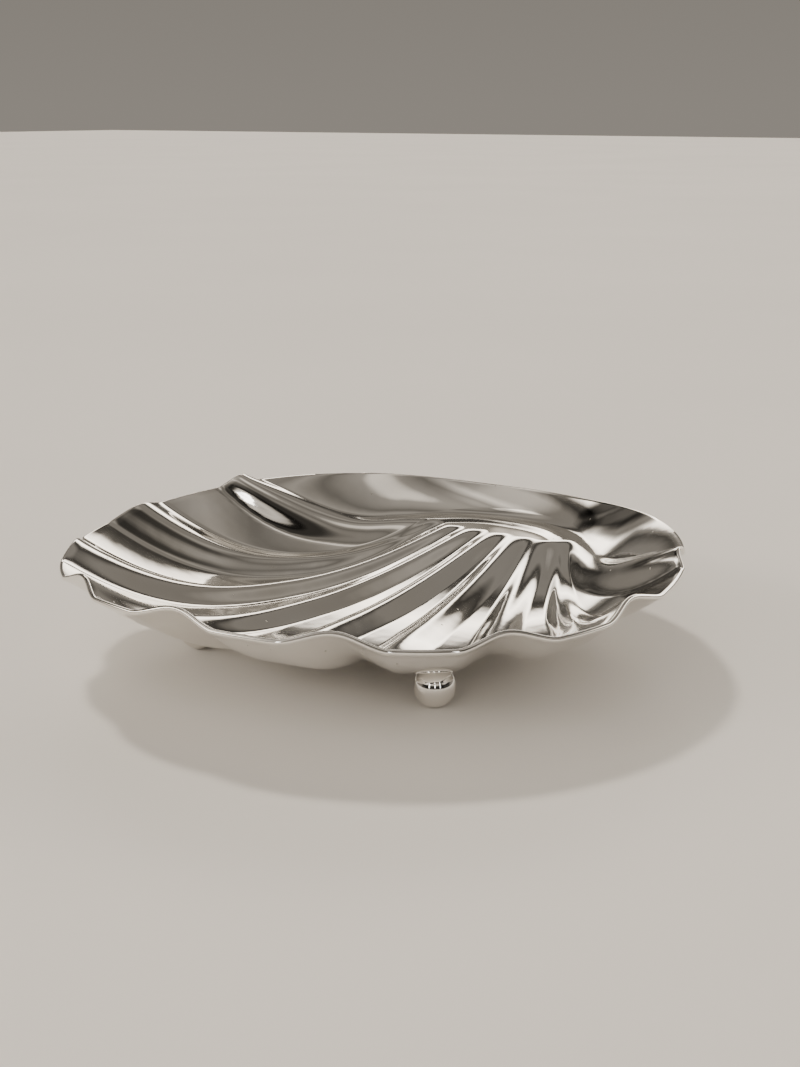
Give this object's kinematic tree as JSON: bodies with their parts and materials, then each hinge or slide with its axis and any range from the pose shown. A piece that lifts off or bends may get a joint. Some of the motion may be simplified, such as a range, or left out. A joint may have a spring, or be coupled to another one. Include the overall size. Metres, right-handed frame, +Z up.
{
  "type": "shell bowl",
  "caption": "Shallow polished metal dish in the form of a fluted scallop shell, with a folded hinge end, standing on small ball feet; holds sweets, soap or butter.",
  "frame": {"origin": "on the ground under the middle of the dish", "axes": "+Z up, +Y from the middle of the dish to the hinge end of the shell, +X to the right seen from the fluted front with the hinge behind"},
  "size_m": [0.1474, 0.149, 0.0289],
  "materials": {
    "sheet": "mirror-polished silver plate, slightly warm, with fine handling marks",
    "balls": "mirror-polished silver plate"
  },
  "bodies": {
    "root": {"shell_bowl": "sheet", "foot_left": "balls", "foot_right": "balls", "foot_hinge": "balls"}
  },
  "joints": []
}
